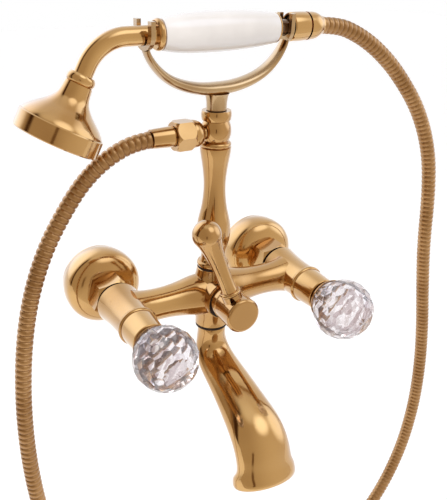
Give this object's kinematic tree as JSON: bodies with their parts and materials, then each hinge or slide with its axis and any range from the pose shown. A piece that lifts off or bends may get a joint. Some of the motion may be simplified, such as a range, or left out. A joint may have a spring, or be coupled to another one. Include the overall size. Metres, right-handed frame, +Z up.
{
  "type": "bath mixer",
  "caption": "Wall-mounted bath and shower mixer: cut-crystal knobs, front diverter lever, swivel spout, and a riser whose cradle holds a handset on a ribbed hose.",
  "frame": {"origin": "in the finished wall's plane, midway between the two inlets and at their height", "axes": "+X to the viewer's right along the line of the inlets, +Y into the wall, +Z up; the mixer stands out from the wall along -Y"},
  "size_m": [0.4332, 0.1822, 0.6261],
  "materials": {
    "plated_brass": "polished, gold plated and lacquered",
    "raw_brass": "machined",
    "hose_metal": "polished ribbed strip, gold plated",
    "white_glaze": "gloss glaze",
    "valve_ceramic": "lapped",
    "cut_glass": "cut and polished facets",
    "rubber_seal": "matt",
    "screw_steel": "machined",
    "grey_plastic": "moulded"
  },
  "bodies": {
    "body": {"body_casting": "plated_brass", "bonnet_cover_left": "plated_brass", "bonnet_cover_right": "plated_brass", "cradle_grub_screw": "screw_steel", "cradle_washer": "rubber_seal", "cradle_yoke": "plated_brass", "diverter_cartridge": "raw_brass", "diverter_fixed_disc": "valve_ceramic", "diverter_trim_ring": "rubber_seal", "eccentric_union_left": "plated_brass", "eccentric_union_right": "plated_brass", "fixed_discs": "valve_ceramic", "headwork_seals": "rubber_seal", "inlet_washers": "rubber_seal", "outlet_ferrule": "plated_brass", "outlet_hose_nut": "plated_brass", "outlet_hose_washer": "rubber_seal", "outlet_nipple": "plated_brass", "riser_column": "plated_brass", "riser_seal": "rubber_seal", "shower_hose": "hose_metal", "spout_retaining_screw": "screw_steel", "union_nut_left": "plated_brass", "union_nut_right": "plated_brass", "valve_headwork_left": "raw_brass", "valve_headwork_right": "raw_brass", "wall_flange_left": "plated_brass", "wall_flange_right": "plated_brass"},
    "knob_left": {"valve_spindle_left": "raw_brass", "shutter_disc_left": "valve_ceramic", "knob_cup_left": "plated_brass", "knob_stud_left": "raw_brass", "crystal_knob_left": "cut_glass"},
    "knob_right": {"valve_spindle_right": "raw_brass", "shutter_disc_right": "valve_ceramic", "knob_cup_right": "plated_brass", "knob_stud_right": "raw_brass", "crystal_knob_right": "cut_glass"},
    "lever": {"diverter_spindle": "raw_brass", "diverter_turning_disc": "valve_ceramic", "diverter_hub": "plated_brass", "lever_collar": "plated_brass", "diverter_lever": "plated_brass", "hub_grub_screw": "screw_steel"},
    "spout": {"spout_body": "plated_brass", "spout_rings": "rubber_seal", "flow_straightener": "grey_plastic"},
    "handset": {"spray_bell": "plated_brass", "spray_plate": "plated_brass", "spray_gasket": "rubber_seal", "rim_ring": "plated_brass", "handset_elbow": "plated_brass", "elbow_collar": "plated_brass", "handle_collar": "plated_brass", "handle_tube": "plated_brass", "handle_sleeve": "white_glaze", "handle_end_cap": "plated_brass", "handset_hose_washer": "rubber_seal", "handset_hose_nut": "plated_brass", "handset_ferrule": "plated_brass"}
  },
  "joints": [
    {"name": "knob_left_turn", "type": "hinge", "parent": "body", "child": "knob_left", "pos_m": [-0.075, -0.1, 0], "axis": [0, -1, 0], "range_deg": [0, 90]},
    {"name": "knob_right_turn", "type": "hinge", "parent": "body", "child": "knob_right", "pos_m": [0.075, -0.1, 0], "axis": [0, 1, 0], "range_deg": [0, 90]},
    {"name": "diverter_turn", "type": "hinge", "parent": "body", "child": "lever", "pos_m": [0, -0.1, 0.0015], "axis": [0, 1, 0], "range_deg": [0, 90]},
    {"name": "spout_swivel", "type": "hinge", "parent": "body", "child": "spout", "pos_m": [0, -0.0633, -0.02], "axis": [0, 0, 1], "range_deg": [-90, 90]},
    {"name": "handset_lift", "type": "slide", "parent": "body", "child": "handset", "axis": [0, 0, 1], "range_m": [0, 0.06], "deforming": ["shower_hose"]}
  ]
}
